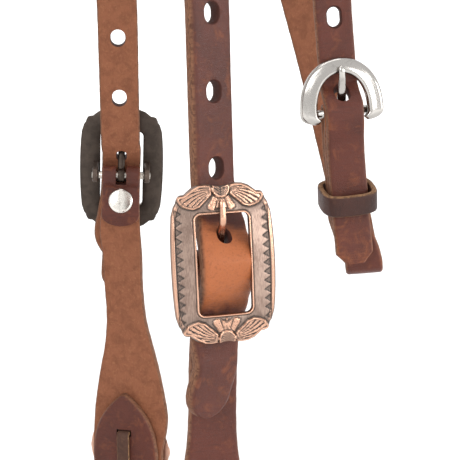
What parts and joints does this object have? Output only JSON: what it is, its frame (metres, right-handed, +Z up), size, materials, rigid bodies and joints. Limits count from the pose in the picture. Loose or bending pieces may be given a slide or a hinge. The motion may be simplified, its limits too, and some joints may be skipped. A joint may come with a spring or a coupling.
{
  "type": "western headstall",
  "caption": "Leather bridle headstall: strap over the poll, cheeks on engraved cart buckles, bit loops with conchos and laces, browband, and a throatlatch on a horseshoe buckle.",
  "frame": {"origin": "middle of the crown strap's underside, where it lies over the poll", "axes": "+Z up, +X the wearer's near (left) side, -Y the front, towards the browband"},
  "size_m": [0.1629, 0.1826, 0.4094],
  "materials": {
    "bridle_leather": "oiled, half gloss grain, rough flesh side",
    "dark_leather": "dark, matt",
    "antique_copper": "engraved, antiqued copper plate over a cast frame",
    "pin_steel": "satin",
    "polished_nickel": "polished nickel plate"
  },
  "bodies": {
    "crown": {"crown_strap": "bridle_leather", "throatlatch_strap": "bridle_leather", "browband": "bridle_leather", "near_brow_post": "polished_nickel", "near_brow_screw": "polished_nickel", "off_brow_post": "polished_nickel", "off_brow_screw": "polished_nickel", "near_buckle_frame": "antique_copper", "near_buckle_pin": "pin_steel", "off_buckle_frame": "antique_copper", "off_buckle_pin": "pin_steel"},
    "near_side_cheek": {"near_cheek": "bridle_leather", "near_cheek_post": "polished_nickel", "near_cheek_screw": "polished_nickel", "near_concho": "antique_copper", "near_lace": "dark_leather"},
    "off_side_cheek": {"off_cheek": "bridle_leather", "off_cheek_post": "polished_nickel", "off_cheek_screw": "polished_nickel", "off_concho": "antique_copper", "off_lace": "dark_leather"},
    "near_tongue": {"near_buckle_tongue": "antique_copper"},
    "off_tongue": {"off_buckle_tongue": "antique_copper"},
    "horseshoe": {"throat_buckle": "polished_nickel"},
    "horseshoe_tongue": {"throat_tongue": "polished_nickel"},
    "keeper": {"throat_keeper": "dark_leather"}
  },
  "joints": [
    {"name": "near_cheek_swing", "type": "hinge", "parent": "crown", "child": "near_side_cheek", "pos_m": [0.0662, 0, -0.23], "axis": [0.0765, 0.997, 0.0138], "range_deg": [0, 16]},
    {"name": "off_cheek_swing", "type": "hinge", "parent": "crown", "child": "off_side_cheek", "pos_m": [-0.0662, 0, -0.23], "axis": [-0.2624, -0.9643, 0.0346], "range_deg": [0, 16]},
    {"name": "near_tongue_lift", "type": "hinge", "parent": "crown", "child": "near_tongue", "pos_m": [0.0662, 0, -0.23], "axis": [0.0765, 0.997, 0.0138], "range_deg": [0, 4]},
    {"name": "off_tongue_lift", "type": "hinge", "parent": "crown", "child": "off_tongue", "pos_m": [-0.0662, 0, -0.23], "axis": [-0.2624, -0.9643, 0.0346], "range_deg": [0, 2.5]},
    {"name": "horseshoe_turn", "type": "hinge", "parent": "crown", "child": "horseshoe", "pos_m": [0.05182, 0.04969, -0.1851], "axis": [0.1492, 0.9857, 0.0782], "range_deg": [0, 3]},
    {"name": "horseshoe_tongue_lift", "type": "hinge", "parent": "horseshoe", "child": "horseshoe_tongue", "pos_m": [0.05182, 0.04969, -0.1851], "axis": [0.1492, 0.9857, 0.0782], "range_deg": [0, 3]},
    {"name": "keeper_slide", "type": "slide", "parent": "crown", "child": "keeper", "axis": [-0.0981, -0.0639, 0.9931], "range_m": [0, 0.008]}
  ]
}
